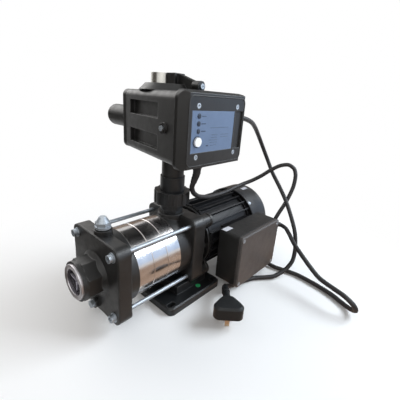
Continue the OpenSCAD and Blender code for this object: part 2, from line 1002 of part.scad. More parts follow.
// Fan cover: a round-edged cup with rings of slots in its end
module fan_cover() {
    r = fan_cover_d / 2;
    w = fan_wall;
    q = cover_round;
    l = fan_cover_l;
    color("#26282a")
    difference() {
        on_shaft(shield_x - cover_overlap)
            rotate_extrude($fn = 128)
                difference() {
                    union() {
                        square([r, l - q]);
                        square([r - q, l]);
                        translate([r - q, l - q])
                            circle(r = q, $fn = 48);
                    }
                    translate([0, -over])
                        square([r - w, l - q + over]);
                    translate([0, -over])
                        square([r - q, l - w + over]);
                    translate([r - q, l - q])
                        circle(r = q - w, $fn = 48);
                }
        on_shaft(shield_x - cover_overlap + l - w - over)
            grille_slots(w + 2 * over);
        at_fan_screws(0)
            cylinder(d = screw_d, h = fan_cover_d);
    }
}

// Rings of arc slots, interrupted by straight bridges
module grille_slots(depth) {
    difference() {
        for (k = [0:grille_rings - 1])
            tube(2 * (grille_start_r + k * grille_pitch + grille_slot_w),
                2 * (grille_start_r + k * grille_pitch), depth);
        for (k = [0:grille_bridges / 2 - 1])
            rotate(360 * k / grille_bridges)
                translate([-fan_cover_d / 2, -grille_bridge_w / 2, -over])
                    cube([fan_cover_d, grille_bridge_w, depth + 2 * over]);
    }
}

// Four screws that hold the fan cover on the shield
module fan_cover_screws() {
    reach = fan_cover_d / 2;
    color("#b4b7b9")
    at_fan_screws(reach - screw_l) {
        cylinder(d = screw_d, h = screw_l);
        translate([0, 0, screw_l])
            cylinder(d1 = screw_head_d, d2 = screw_d, h = screw_head_h);
    }
}

// Places a child at the four screws of the fan cover, pointing outward from radius r
module at_fan_screws(r) {
    translate([shield_x + (shield_l - web_t / 2) / 2, 0, shaft_h])
        for (turn = [45, 135, 225, 315])
            rotate([turn, 0, 0])
                translate([0, 0, r])
                    children();
}

// Base plate: hollow underside, four slots and a saddle for the pump
module base_plate() {
    saddle_r = casing_d / 2 + body_lip;
    pedestal_top = shaft_h - rod_pitch / 2 - rod_d;
    color("#232527")
    difference() {
        union() {
            hull() {
                linear_extrude(base_t - plate_bevel)
                    round_rect(base_l, base_w, base_round, $fn = 32);
                linear_extrude(base_t)
                    round_rect(base_l - 2 * plate_bevel, base_w - 2 * plate_bevel, base_round, $fn = 32);
            }
            translate([-pedestal_back, -pedestal_w / 2, 0])
                cube([pedestal_l, pedestal_w, pedestal_top]);
        }
        translate([0, 0, -over])
            linear_extrude(base_t - top_skin + over)
                difference() {
                    round_rect(base_l - 2 * rim_t, base_w - 2 * rim_t, base_round / 2);
                    square([base_l, rim_t], center = true);
                    for (side = [-1, 1])
                        translate([0, side * slot_pitch_y / 2])
                            square([base_l, 3 * slot_w], center = true);
                }
        for (side = [-1, 1])
            pedestal_hollow(side, shaft_h - saddle_r - top_skin);
        for (sx = [-1, 1], sy = [-1, 1])
            translate([sx * slot_pitch_x / 2, sy * slot_pitch_y / 2, -over])
                fixing_slot(base_t + 2 * over);
        pump_envelope(saddle_r);
    }
}

// Hollow under one half of the pedestal
module pedestal_hollow(side, height) {
    width = (pedestal_w - rim_t) / 2 - 2 * pedestal_wall;
    centre_y = side * (pedestal_w + rim_t) / 4;
    translate([pedestal_wall - pedestal_back, centre_y - width / 2, -over])
        cube([pedestal_l - 2 * pedestal_wall, width, height + over]);
}

// Space of the discharge casing and the lantern over the base
module pump_envelope(radius) {
    on_shaft(ring_x - pedestal_l)
        cylinder(r = casing_d / 2, h = seat_x - ring_x + pedestal_l + over, $fn = 128);
    on_shaft(seat_x)
        linear_extrude(discharge_l + lantern_l + pedestal_l)
            lobed_disc(radius);
}

// Slot with round ends, long along the shaft
module fixing_slot(depth) {
    reach = (slot_l - slot_w) / 2;
    translate([-reach, -slot_w / 2, 0])
        cube([2 * reach, slot_w, depth]);
    for (side = [-1, 1])
        translate([side * reach, 0, 0])
            cylinder(d = slot_w, h = depth);
}

// Turns a flat outline in X and Z so that it is extruded toward the viewer side
module toward_front(y) {
    translate([0, y, 0])
        rotate([90, 0, 0])
            children();
}

// Terminal box: a deep tray on the side of the motor, open to its cover
module terminal_box() {
    color("#2b2d2f")
    difference() {
        toward_front(-box_y)
            linear_extrude(box_depth)
                box_outline(0);
        toward_front(-box_y - box_wall)
            linear_extrude(box_depth)
                difference() {
                    box_outline(box_wall);
                    at_box_corners()
                        circle(d = screw_post_d);
                }
        at_cover_screws(-box_y - box_depth / 2)
            cylinder(d = cover_screw_d, h = box_depth / 2 + over);
        translate([box_x + box_l - box_wall - over, -box_y - gland_in, gland_z + box_z])
            rotate([0, 90, 0])
                cylinder(d = gland_stem_d, h = box_wall + 2 * over);
    }
}

// Outline of the terminal box in X and Z, drawn in by a margin
module box_outline(margin) {
    translate([box_x + box_l / 2, box_z + box_h / 2])
        round_rect(box_l - 2 * margin, box_h - 2 * margin, box_round - margin);
}

// Places a flat child at the four screw corners of the box
module at_box_corners() {
    for (sx = [-1, 1], sz = [-1, 1])
        translate([box_x + box_l / 2 + sx * (box_l / 2 - screw_inset),
            box_z + box_h / 2 + sz * (box_h / 2 - screw_inset)])
            children();
}

// Places a child at the four cover screws, pointing away from the motor from y
module at_cover_screws(y) {
    toward_front(y)
        at_box_corners()
            children();
}

module terminal_gasket() {
    color("#101010")
    toward_front(-box_y - box_depth)
        linear_extrude(gasket_t)
            difference() {
                box_outline(box_wall / 4);
                box_outline(box_wall);
            }
}

// Shallow cover of the terminal box with bevelled edges
module terminal_cover() {
    y0 = -box_y - box_depth - gasket_t;
    color("#5d5857")
    difference() {
        union() {
            toward_front(y0)
                linear_extrude(cover_t - cover_step)
                    box_outline(0);
            toward_front(y0 - cover_t + cover_step)
                linear_extrude(cover_step)
                    box_outline(cover_step);
        }
        at_cover_screws(y0 + over)
            cylinder(d = cover_screw_d, h = cover_t + 2 * over);
        at_cover_screws(y0 - cover_t + cover_head_h)
            cylinder(d = cover_head_d, h = cover_head_h + over);
    }
}

// Cross-slotted screws of the terminal cover
module cover_screws() {
    y0 = -box_y - box_depth - gasket_t - cover_t;
    color("#c4c7c9")
    at_cover_screws(y0 + cover_head_h)
        cross_screw(cover_head_d - 2 * head_gap, cover_head_h, cover_screw_d, cover_t + gasket_t);
}

// Flat-headed screw with a cross recess, its head upward from the origin
module cross_screw(head_w, head_t, stem_w, stem_l) {
    difference() {
        union() {
            cylinder(d = head_w, h = head_t);
            translate([0, 0, -stem_l])
                cylinder(d = stem_w, h = stem_l);
        }
        for (turn = [0, 90])
            rotate(turn)
                translate([-head_w / 3, -head_t / 4, head_t / 2])
                    cube([2 * head_w / 3, head_t / 2, head_t]);
    }
}

// Terminal strip with three wells
module terminal_block() {
    color("#d8d4c6")
    translate([box_x + box_wall + block_w, -box_y - box_wall - block_t, box_z + box_h / 2])
        difference() {
            translate([0, 0, -block_w / 2])
                cube([block_l, block_t, block_w]);
            for (k = [0:2])
                translate([block_l * (k + 0.5) / 3, -over, 0])
                    rotate([-90, 0, 0])
                        cylinder(d = block_w / 3, h = block_t / 2 + over);
        }
}

// Run capacitor lying along the floor of the box
module capacitor() {
    inset = box_wall + run_gap + capacitor_d / 2;
    color("#e4e4e0")
    translate([box_x + (box_l - capacitor_l) / 2, -box_y - inset, box_z + inset])
        rotate([0, 90, 0])
            cylinder(d = capacitor_d, h = capacitor_l);
}

// Cable gland on the rear face of the terminal box
module box_gland() {
    color("#b8b4b6")
    translate([box_x + box_l, -box_y - gland_in, gland_z + box_z])
        rotate([0, 90, 0]) {
            prism(gland_hex_af, gland_hex_l);
            translate([0, 0, gland_hex_l])
                cylinder(d1 = gland_cap_d, d2 = gland_cap_d - gasket_t, h = gland_cap_l);
            translate([0, 0, -box_wall])
                cylinder(d = gland_stem_d, h = box_wall + over);
        }
}

// Lower half of the union, screwed into the discharge port
module union_tail() {
    pad_z = shaft_h + port_pad_h;
    neck_top = tail_hex_h + tail_neck_h;
    color("#1d1e20")
    translate([0, 0, pad_z])
        difference() {
            union() {
                translate([0, 0, -tail_thread_l])
                    cylinder(d = port_bore_d, h = tail_thread_l + over);
                prism(tail_hex_af, tail_hex_h, 6, tail_hex_turn);
                translate([0, 0, tail_hex_h - slice_t])
                    cylinder(d = tail_neck_d, h = tail_neck_h + slice_t);
                translate([0, 0, neck_top])
                    cylinder(d = tail_head_d, h = thread_h);
            }
            translate([0, 0, -tail_thread_l - over])
                cylinder(d = union_bore_d, h = tail_thread_l + neck_top + thread_h + 2 * over);
            translate([0, 0, neck_top + thread_h - ring_tube_d])
                tube(2 * ring_r + ring_tube_d, 2 * ring_r - ring_tube_d, ring_tube_d + over);
        }
}

// Rubber ring between the union halves
module union_ring() {
    color("#0f0f0f")
    translate([0, 0, shaft_h + port_pad_h + tail_hex_h + tail_neck_h + thread_h - ring_tube_d / 2])
        rotate_extrude()
            translate([ring_r, 0])
                circle(d = ring_tube_d, $fn = 24);
}

// Hand nut of the union with coarse grip ribs
module union_nut() {
    bottom_z = shaft_h + port_pad_h + tail_hex_h + tail_neck_h;
    inner_h = thread_h + socket_flange_h + run_gap;
    color("#1d1e20")
    translate([0, 0, bottom_z])
        difference() {
            union() {
                cylinder(d = nut_core_d, h = nut_h);
                intersection() {
                    cylinder(d = nut_d, h = nut_h);
                    for (k = [0:nut_ribs - 1])
                        rotate(360 * k / nut_ribs)
                            translate([0, -nut_rib_w / 2, 0])
                                cube([nut_d, nut_rib_w, nut_h]);
                }
            }
            translate([0, 0, -over])
                cylinder(d = tail_head_d + 2 * run_gap, h = inner_h + over);
            cylinder(d = socket_d + 4 * run_gap, h = nut_h + over);
        }
}

// Upper half of the union, screwed on the inlet spigot of the controller
module union_socket() {
    flange_z = shaft_h + port_pad_h + tail_hex_h + tail_neck_h + thread_h;
    top_z = shaft_h + socket_top_h;
    color("#1d1e20")
    difference() {
        union() {
            translate([0, 0, flange_z])
                cylinder(d = tail_head_d, h = socket_flange_h);
            translate([0, 0, flange_z])
                cylinder(d = socket_d, h = top_z - flange_z);
        }
        translate([0, 0, flange_z - over])
            cylinder(d = union_bore_d, h = top_z - flange_z + 2 * over);
        translate([0, 0, spigot_end_h])
            cylinder(d = pipe_d, h = top_z - spigot_end_h + over);
    }
}

// Round-cornered slab standing at y, thin along Y
module slab(width, height, radius, y) {
    translate([0, y, ctl_z])
        rotate([90, 0, 0])
            linear_extrude(slice_t)
                round_rect(width, height, radius, $fn = 32);
}

// Tapered body of the controller between the housing and the rear cover
module body_shell() {
    hull() {
        slab(body_front_w, body_h, body_round, body_y + slice_t);
        slab(body_rear_w, body_h - bevel_h, rear_round, rear_y);
    }
}

// Controller body: inlet spigot, valve chamber, outlet boss, side pockets and lugs
module controller_body() {
    top_z = ctl_z + body_h / 2;
    spigot_h = ctl_z - body_h / 2 + body_round - spigot_end_h;
    color("#222325")
    difference() {
        union() {
            body_shell();
            translate([0, 0, spigot_end_h])
                cylinder(d = pipe_d, h = spigot_h);
            outlet_boss(top_z);
            top_lug(0)
                cylinder(d = lug_d, h = lug_l);
            side_screws(0)
                cylinder(d = lug_d, h = lug_l);
        }
        body_pockets();
        translate([0, 0, spigot_end_h - over])
            cylinder(d = passage_d, h = valve_chamber_z - spigot_end_h + 2 * over);
        translate([0, 0, valve_chamber_z])
            cylinder(d = valve_chamber_d, h = valve_chamber_h);
        translate([0, outlet_y, ctl_z])
            cylinder(d = passage_d, h = body_h);
        translate([0, outlet_y, top_z + boss_h - nipple_bed])
            cylinder(d = nipple_bed_d, h = nipple_bed + over);
        translate([0, outlet_y, top_z + boss_h])
            cylinder(d = pipe_d + 2 * fitting_gap, h = bridge_h + over);
        translate([0, rear_y + over, ctl_z])
            rotate([90, 0, 0])
                cylinder(d = diaphragm_chamber_d, h = diaphragm_chamber_l + over);
        top_lug(-over)
            cylinder(d = face_screw_d, h = lug_l / 2 + over);
        side_screws(-over)
            cylinder(d = face_screw_d, h = lug_l / 2 + over);
        gland_seats();
    }
}

// Round boss under the outlet, with a block and a sloping web toward the top lug
module outlet_boss(top_z) {
    translate([0, outlet_y / 2, top_z - over])
        cylinder(d1 = boss_d, d2 = boss_top_d, h = boss_h + over);
    translate([-bridge_w / 2, outlet_y - bridge_l, top_z])
        cube([bridge_w, bridge_l, boss_h + bridge_h]);
    translate([web_w / 2, outlet_y - bridge_l + over, top_z - over])
        rotate([90, 0, -90])
            linear_extrude(web_w)
                polygon([[0, 0], [0, boss_h + bridge_h + over],
                    [lug_y + outlet_y - bridge_l, web_h + over], [lug_y + outlet_y - bridge_l, 0]]);
}

// Places a child at the front of the top lug, pointing away from the label face
module top_lug(depth) {
    translate([0, depth - lug_y, ctl_z + lug_top_h])
        rotate([-90, 0, 0])
            children();
}

// Places a child at the screw boss on each side of the body, pointing inward
module side_screws(depth) {
    for (side = [-1, 1])
        translate([side * (lug_side_x - depth), -lug_side_y, ctl_z])
            rotate([0, -side * 90, 0])
                children();
}

// Two pockets on each side of the body, with a wide rib between them
module body_pockets() {
    slope = atan((body_front_w - body_rear_w) / 2 / body_depth);
    pocket_h = (pocket_top - pocket_rib) / 2;
    for (side = [-1, 1], level = [-1, 1])
        translate([side * body_front_w / 2, body_y, ctl_z + level * (pocket_top + pocket_rib) / 4])
            rotate([0, 0, side * slope])
                translate([-pocket_depth, pocket_start, -pocket_h / 2])
                    cube([2 * pocket_depth, pocket_l, pocket_h]);
}

// Rear cover: plate, rounded dome and the long spring cap
module rear_cover() {
    plate_y = rear_y + rear_plate_t;
    color("#222325")
    difference() {
        union() {
            translate([0, plate_y, ctl_z])
                rotate([90, 0, 0])
                    linear_extrude(rear_plate_t)
                        round_rect(body_rear_w, body_h - bevel_h, rear_round);
            hull() {
                slab(dome_w, dome_w, rear_round, plate_y);
                slab(cap_d, dome_h, rear_round, plate_y + dome_l);
            }
            spring_cap(plate_y);
        }
        translate([0, plate_y + dome_l + cap_l - cap_round, ctl_z])
            rotate([90, 0, 0])
                cylinder(d = cap_d - 2 * cap_wall, h = dome_l + cap_l);
    }
}

// Round-ended cap along Y that starts at y
module spring_cap(y) {
    total_l = dome_l + cap_l;
    translate([0, y, ctl_z])
        rotate([-90, 0, 0])
            rotate_extrude() {
                square([cap_d / 2, total_l - cap_round]);
                square([cap_d / 2 - cap_round, total_l]);
                intersection() {
                    translate([cap_d / 2 - cap_round, total_l - cap_round])
                        circle(r = cap_round, $fn = 40);
                    square([cap_d / 2, total_l]);
                }
            }
}

// Rubber diaphragm clamped between the body and the rear cover
module diaphragm() {
    color("#161616")
    translate([0, rear_y, ctl_z])
        rotate([90, 0, 0])
            cylinder(d = diaphragm_chamber_d, h = diaphragm_t);
}

// Return spring of the diaphragm, drawn as its outer sleeve
module spring() {
    free_l = dome_l + cap_l - cap_round + rear_plate_t;
    color("#a9adb0")
    translate([0, rear_y, ctl_z])
        rotate([-90, 0, 0])
            tube(spring_d, spring_d - 2 * spring_wire, free_l);
}

// Check valve disc on its guide stem
module check_valve() {
    seat_z = valve_chamber_z;
    color("#c9c3b4")
    translate([0, 0, seat_z]) {
        cylinder(d = valve_disc_d, h = valve_disc_t);
        cylinder(d = valve_stem_d, h = valve_stem_h);
    }
}

// Front housing of the electronics with bevelled edges
module controller_housing() {
    strip_x = label_x + label_w / 2 + strip_gap + strip_w / 2;
    color("#28292b")
    difference() {
        housing_shell();
        on_face(housing_depth + over)
            linear_extrude(housing_depth - housing_wall_t + over)
                difference() {
                    round_rect(cavity_w, cavity_h, face_round);
                    for (sx = [-1, 1], sz = [-1, 1])
                        translate([sx * face_screw_x, sz * face_screw_z])
                            circle(d = 2 * face_head_d);
                }
        on_face(label_t)
            linear_extrude(label_t + over)
                translate([label_x, 0])
                    square([label_w, label_h], center = true);
        on_face(strip_depth)
            linear_extrude(strip_depth + over)
                translate([strip_x, 0])
                    square([strip_w, label_h], center = true);
        at_face_screws(face_head_h)
            cylinder(d = face_head_d, h = face_head_h + over);
        at_face_screws(housing_depth + over)
            cylinder(d = face_screw_d, h = housing_depth);
        at_lenses(housing_wall_t + over)
            cylinder(d = lens_d, h = housing_wall_t + 2 * over);
        on_face(button_well)
            translate([button_x, button_z, 0])
                cylinder(d = button_d + 2 * run_gap, h = button_well + over);
    }
}

// Rounded box of the housing, bevelled toward the label face on all four sides
module housing_shell() {
    intersection() {
        on_face(housing_depth)
            linear_extrude(housing_depth)
                round_rect(housing_w, housing_h, housing_round);
        translate([0, 0, ctl_z - housing_h / 2 - over])
            linear_extrude(housing_h + 2 * over)
                bevel_outline(housing_w / 2, bevel_w);
        translate([housing_w / 2 + over, 0, ctl_z])
            rotate([0, -90, 0])
                linear_extrude(housing_w + 2 * over)
                    bevel_outline_side(housing_h / 2, bevel_h);
    }
}

// Section of the housing seen from above: full width behind, narrower at the face
module bevel_outline(half, bevel) {
    polygon([[-half, body_y], [-half, bevel_y - face_y], [bevel - half, -face_y],
        [half - bevel, -face_y], [half, bevel_y - face_y], [half, body_y]]);
}

// The same section seen from the side
module bevel_outline_side(half, bevel) {
    polygon([[-half, body_y], [-half, bevel_y - face_y], [bevel - half, -face_y],
        [half - bevel, -face_y], [half, bevel_y - face_y], [half, body_y]]);
}

// Turns a child to face the viewer at the label face, sunk by depth
module on_face(depth = 0) {
    translate([0, depth - face_y, ctl_z])
        rotate([90, 0, 0])
            children();
}

module at_face_screws(depth) {
    on_face(depth)
        for (sx = [-1, 1], sz = [-1, 1])
            translate([sx * face_screw_x, sz * face_screw_z, 0])
                children();
}

module at_lenses(depth) {
    on_face(depth)
        for (k = [0:lens_n - 1])
            translate([lens_x, lens_top - k * lens_pitch, 0])
                children();
}

module circuit_board() {
    switch_l = housing_depth - board_t - button_well + run_gap;
    color("#2f6b3c") {
        on_face(housing_depth)
            linear_extrude(board_t)
                difference() {
                    square([board_w, board_h], center = true);
                    for (sx = [-1, 1], sz = [-1, 1])
                        translate([sx * face_screw_x, sz * face_screw_z])
                            circle(d = 2 * face_head_d + 2 * run_gap);
                }
        on_face(housing_depth - board_t)
            translate([button_x, button_z, 0])
                cylinder(d = button_stem_d, h = switch_l);
    }
}

// Printed label panel with holes for the lenses and the button
module label_panel() {
    color("#8ea6c4")
    difference() {
        on_face(label_t)
            linear_extrude(label_t)
                translate([label_x, 0])
                    square([label_w, label_h], center = true);
        at_lenses(label_t + over)
            cylinder(d = lens_d, h = label_t + 2 * over);
        on_face(label_t + over)
            translate([button_x, button_z, 0])
                cylinder(d = button_d + 2 * run_gap, h = label_t + 2 * over);
    }
}

module indicator_lenses() {
    color("#2c3a4c")
    at_lenses(housing_wall_t)
        cylinder(d = lens_d, h = housing_wall_t + lens_proud);
}

// Reset button, pushed in along Y
module reset_button() {
    color("#eef0f2")
    on_face(button_well - button_travel - 2 * run_gap)
        translate([button_x, button_z, 0])
            cylinder(d = button_d, h = button_well - button_travel - 2 * run_gap + button_proud);
}

// Four face screws with cross slots
module housing_screws() {
    color("#bfc3c6") {
        at_face_screws(face_head_h)
            cross_screw(face_head_d - 2 * head_gap, face_head_h, face_screw_d, housing_depth - face_head_h);
        for (k = [0, 1])
            lug_screw_place(k)
                rotate([180, 0, 0])
                    cross_screw(face_head_d, face_head_h, face_screw_d, lug_l / 2 - over);
    }
}

// Screw places of the top lug and of the two side bosses
module lug_screw_place(k) {
    if (k == 0)
        top_lug(0)
            children();
    else
        side_screws(0)
            children();
}

// Threaded metal nipple of the outlet
module outlet_nipple() {
    color("#cfd0cc")
    translate([0, outlet_y, ctl_z + body_h / 2 + boss_h])
        difference() {
            union() {
                cylinder(d = pipe_d, h = nipple_h);
                translate([0, 0, -nipple_bed])
                    cylinder(d = nipple_bed_d, h = nipple_bed + slice_t);
            }
            translate([0, 0, -nipple_bed - over])
                cylinder(d = pipe_d - 2 * nipple_wall, h = nipple_bed + nipple_h + 2 * over);
        }
}

// Lead glands of the controller, one on the side and one underneath
module controller_glands() {
    color("#1b1c1d")
    gland_seats();
}

// Both glands: the plug lead leaves sideways, and the motor lead downward
module gland_seats() {
    translate([plug_gland_end - plug_gland_l, -plug_gland_y, ctl_z + plug_gland_z])
        rotate([0, 90, 0])
            cylinder(d = lead_gland_d, h = plug_gland_l);
    translate([motor_gland_x, -motor_gland_y, ctl_z - body_h / 2 - lead_gland_l])
        cylinder(d = lead_gland_d, h = lead_gland_l + lead_gland_lip);
}

module motor_lead() {
    color("#2a2a2c")
    lead(motor_route);
}

module plug_lead() {
    color("#2a2a2c")
    lead(plug_route);
}

// Moulded plug standing on its pins, with its neck toward the lead
module plug_body() {
    color("#1f2124")
    translate([plug_x, plug_y, plug_pin_l])
        rotate([0, 0, plug_turn]) {
            hull() {
                linear_extrude(plug_h - plug_round / 3)
                    plug_outline(1);
                linear_extrude(plug_h)
                    plug_outline(plug_crown_share);
            }
            translate([plug_depth / 2 - over, 0, neck_z - plug_pin_l])
                rotate([0, 90, 0])
                    cylinder(d1 = neck_w, d2 = neck_w * neck_tip_share, h = neck_l + over);
        }
}

// D-shaped outline of the plug, flat at its front
module plug_outline(share) {
    scale([share, share])
        hull() {
            for (side = [-1, 1])
                translate([plug_round - plug_depth / 2, side * (plug_w / 2 - plug_round)])
                    circle(r = plug_round, $fn = 32);
            translate([plug_depth / 2 - plug_w / 3, 0])
                circle(r = plug_w / 3, $fn = 32);
        }
}

// Three flat pins under the plug
module plug_pins() {
    color("#c9a24a")
    translate([plug_x, plug_y, 0])
        rotate([0, 0, plug_turn]) {
            pin_at(-plug_depth / 4, 0, 0);
            pin_at(plug_depth / 6, pin_spread, 90 - pin_tilt);
            pin_at(plug_depth / 6, -pin_spread, 90 + pin_tilt);
        }
}

module pin_at(x, y, turn) {
    translate([x, y, 0])
        rotate([0, 0, turn])
            translate([-pin_t / 2, -pin_w / 2, 0])
                cube([pin_t, pin_w, plug_pin_l]);
}

suction_cover();
suction_insert();
priming_plug();
priming_washer();
drain_plug();
stage_casing(1);  // stage_casing_1
stage_casing(2);  // stage_casing_2
stage_casing(3);  // stage_casing_3
diffuser(1);  // diffuser_1
diffuser(2);  // diffuser_2
diffuser(3);  // diffuser_3
impeller(1);  // impeller_1
impeller(2);  // impeller_2
impeller(3);  // impeller_3
discharge_casing();
tie_rods();
tie_washers();
shaft();
seal_head();
seal_seat();
lantern();
front_bearing();
rear_bearing();
motor_frame();
stator_core();
windings();
rotor_core();
rear_shield();
fan();
fan_cover();
fan_cover_screws();
base_plate();
terminal_box();
terminal_gasket();
terminal_cover();
cover_screws();
terminal_block();
capacitor();
box_gland();
union_tail();
union_ring();
union_nut();
union_socket();
controller_body();
rear_cover();
diaphragm();
spring();
check_valve();
controller_housing();
circuit_board();
label_panel();
indicator_lenses();
reset_button();
housing_screws();
outlet_nipple();
controller_glands();
motor_lead();
plug_lead();
plug_body();
plug_pins();
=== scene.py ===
"""Looks for the horizontal multistage pump: camera, cords, materials, small details and light.

The part's own frame: X along the shaft, Z up, the floor at Z = 0. Shapes are written in millimetres
and made in metres; sizes in the materials, the camera and the light are in metres.
"""
import json
import math

import bmesh
import bpy
from mathutils import Matrix, Vector


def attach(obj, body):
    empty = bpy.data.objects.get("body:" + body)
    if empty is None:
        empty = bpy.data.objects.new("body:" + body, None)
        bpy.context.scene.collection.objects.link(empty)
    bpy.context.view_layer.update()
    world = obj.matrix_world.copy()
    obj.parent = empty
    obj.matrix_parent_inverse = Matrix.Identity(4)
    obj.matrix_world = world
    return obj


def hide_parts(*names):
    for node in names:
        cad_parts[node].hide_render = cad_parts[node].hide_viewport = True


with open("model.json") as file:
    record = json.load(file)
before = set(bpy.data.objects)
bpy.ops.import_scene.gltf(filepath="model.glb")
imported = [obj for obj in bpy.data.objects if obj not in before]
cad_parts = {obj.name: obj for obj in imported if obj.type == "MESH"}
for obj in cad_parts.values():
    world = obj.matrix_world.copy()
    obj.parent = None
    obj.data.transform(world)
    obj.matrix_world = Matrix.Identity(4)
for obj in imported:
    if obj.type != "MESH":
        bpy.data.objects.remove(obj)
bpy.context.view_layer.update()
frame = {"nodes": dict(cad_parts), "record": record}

MM = 0.001

# Places in the part, in millimetres
SHAFT_Z = 75
PORT_X = -160.1
COVER_X = -130.1
FAN_COVER_R = 60
CONTROLLER_Z = 262
FACE_Y = -78
BOX_TOP = 104
BASE_TOP = 12


def link(obj):
    bpy.context.scene.collection.objects.link(obj)
    return obj


# Camera

CAMERA_PLACE = (-0.28165, -0.29969, 0.30139)
CAMERA_RIGHT = (0.67213, -0.73707, 0.07054)
CAMERA_BACK = (-0.71296, -0.61853, 0.33033)
LENS_MM = 25.437
SENSOR_MM = 36
SHIFT = (0.00203, -0.01171)
NEAREST = 0.01


def make_camera():
    """The photograph's camera: a short lens close to the suction end, looking down a little."""
    right = Vector(CAMERA_RIGHT).normalized()
    back = Vector(CAMERA_BACK)
    back = (back - right * back.dot(right)).normalized()
    up = back.cross(right)
    data = bpy.data.cameras.new("camera")
    data.lens = LENS_MM
    data.sensor_width = SENSOR_MM
    data.shift_x, data.shift_y = SHIFT
    data.clip_start = NEAREST
    camera = link(bpy.data.objects.new("camera", data))
    turned = Matrix((right, up, back)).transposed().to_4x4()
    camera.matrix_world = Matrix.Translation(CAMERA_PLACE) @ turned
    bpy.context.scene.camera = camera


make_camera()


# Materials

WHITE = (1, 1, 1, 1)


class Look:
    """The nodes of one material or world, with short calls that add them."""

    def __init__(self, owner, placed=True):
        owner.use_nodes = True
        self.owner = owner
        self.tree = owner.node_tree
        self.tree.nodes.clear()
        self.place = self.node("ShaderNodeTexCoord").outputs["Object"] if placed else None

    def node(self, kind, values=None, **settings):
        made = self.tree.nodes.new(kind)
        for name, value in settings.items():
            setattr(made, name, value)
        for socket, value in (values or {}).items():
            if isinstance(value, bpy.types.NodeSocket):
                self.tree.links.new(value, made.inputs[socket])
            else:
                made.inputs[socket].default_value = value
        return made

    def noise(self, size, detail=3.0, rough=0.55, place=None):
        """Noise whose lumps are about size metres across, from 0 to 1."""
        values = {"Vector": place or self.place, "Scale": 1 / size,
                  "Detail": detail, "Roughness": rough}
        return self.node("ShaderNodeTexNoise", values).outputs["Fac"]

    def spread(self, value, low, high, start=0.32, end=0.68):
        """Stretches the range from start to end over low to high; noise fills the default range."""
        values = {"Value": value, "From Min": start, "From Max": end, "To Min": low, "To Max": high}
        return self.node("ShaderNodeMapRange", values).outputs["Result"]

    def maths(self, what, first, second=0.0):
        return self.node("ShaderNodeMath", {0: first, 1: second}, operation=what).outputs[0]

    def mix(self, share, first, second):
        made = self.node("ShaderNodeMix", {0: share, 6: first, 7: second}, data_type="RGBA")
        return made.outputs[2]

    def mottle(self, lumps, colour, dark, light):
        """A colour that wanders between two levels of itself."""
        return self.mix(self.spread(lumps, 0, 1), rgba(colour, dark), rgba(colour, light))

    def soft_edges(self, radius):
        return self.node("ShaderNodeBevel", {"Radius": radius}, samples=6).outputs["Normal"]

    def edge_mask(self, radius):
        """1 along sharp edges, 0 on flat faces."""
        round_normal = self.node("ShaderNodeBevel", {"Radius": radius}, samples=4).outputs["Normal"]
        flat_normal = self.node("ShaderNodeNewGeometry").outputs["Normal"]
        both = {0: round_normal, 1: flat_normal}
        dot = self.node("ShaderNodeVectorMath", both, operation="DOT_PRODUCT").outputs["Value"]
        return self.spread(dot, 1.0, 0.0, 0.80, 0.99)

    def bump(self, height, distance, normal):
        values = {"Height": height, "Distance": distance, "Strength": 1.0, "Normal": normal}
        return self.node("ShaderNodeBump", values).outputs["Normal"]

    def seen(self):
        """1 for what the camera sees straight, reflected or through glass, 0 for what only lights."""
        rays = self.node("ShaderNodeLightPath").outputs
        sharp = self.maths("MAXIMUM", rays["Is Camera Ray"], rays["Is Glossy Ray"])
        return self.maths("MAXIMUM", sharp, rays["Is Transmission Ray"])

    def output(self, shader):
        self.node("ShaderNodeOutputMaterial", {"Surface": shader})
        return self.owner

    def surface(self, **values):
        named = {name.replace("_", " "): value for name, value in values.items()}
        return self.output(self.node("ShaderNodeBsdfPrincipled", named).outputs[0])


def rgba(colour, level=1.0):
    return (*(min(1.0, c * level) for c in colour), 1.0)


ROUGH_SPREAD = 0.06
# Width and patch size of the painted highlight along sharp edges
EDGE_HIGHLIGHT_WIDTH = 1.6
EDGE_HIGHLIGHT_LUMPS = 0.004


def moulded(name, colour, rough, grain=0.0006, grain_depth=0.00003, lumps=0.02, vary=0.25,
            edge=0.0009, edge_highlight=0.0, gloss=0.5):
    """Plastic, rubber or paint: mottled colour, fine grain, soft edges, and a painted highlight that
    makes sharp edges lighter in patches.
    """
    look = Look(bpy.data.materials.new(name))
    tone = look.mottle(look.noise(lumps, 4), colour, 1 - vary, 1 + vary)
    # Painted highlight: sharp edges are mixed towards a lighter colour, broken into patches by noise
    if edge_highlight:
        patchy = look.spread(look.noise(EDGE_HIGHLIGHT_LUMPS), 0.3, 1)
        painted_edge_highlight = look.maths("MULTIPLY", look.edge_mask(edge * EDGE_HIGHLIGHT_WIDTH), patchy)
        tone = look.mix(painted_edge_highlight, tone, rgba([c + edge_highlight for c in colour]))
    roughness = look.spread(look.noise(lumps / 3, 4), rough - ROUGH_SPREAD, rough + ROUGH_SPREAD)
    normal = look.bump(look.noise(grain, 2), grain_depth, look.soft_edges(edge))
    return look.surface(Base_Color=tone, Roughness=roughness, Normal=normal, Specular_IOR_Level=gloss)


METAL_VARY = 0.08
METAL_LUMPS = 0.012
METAL_LINE = 0.0005
METAL_LINE_DEPTH = 0.00001
METAL_EDGE = 0.0004


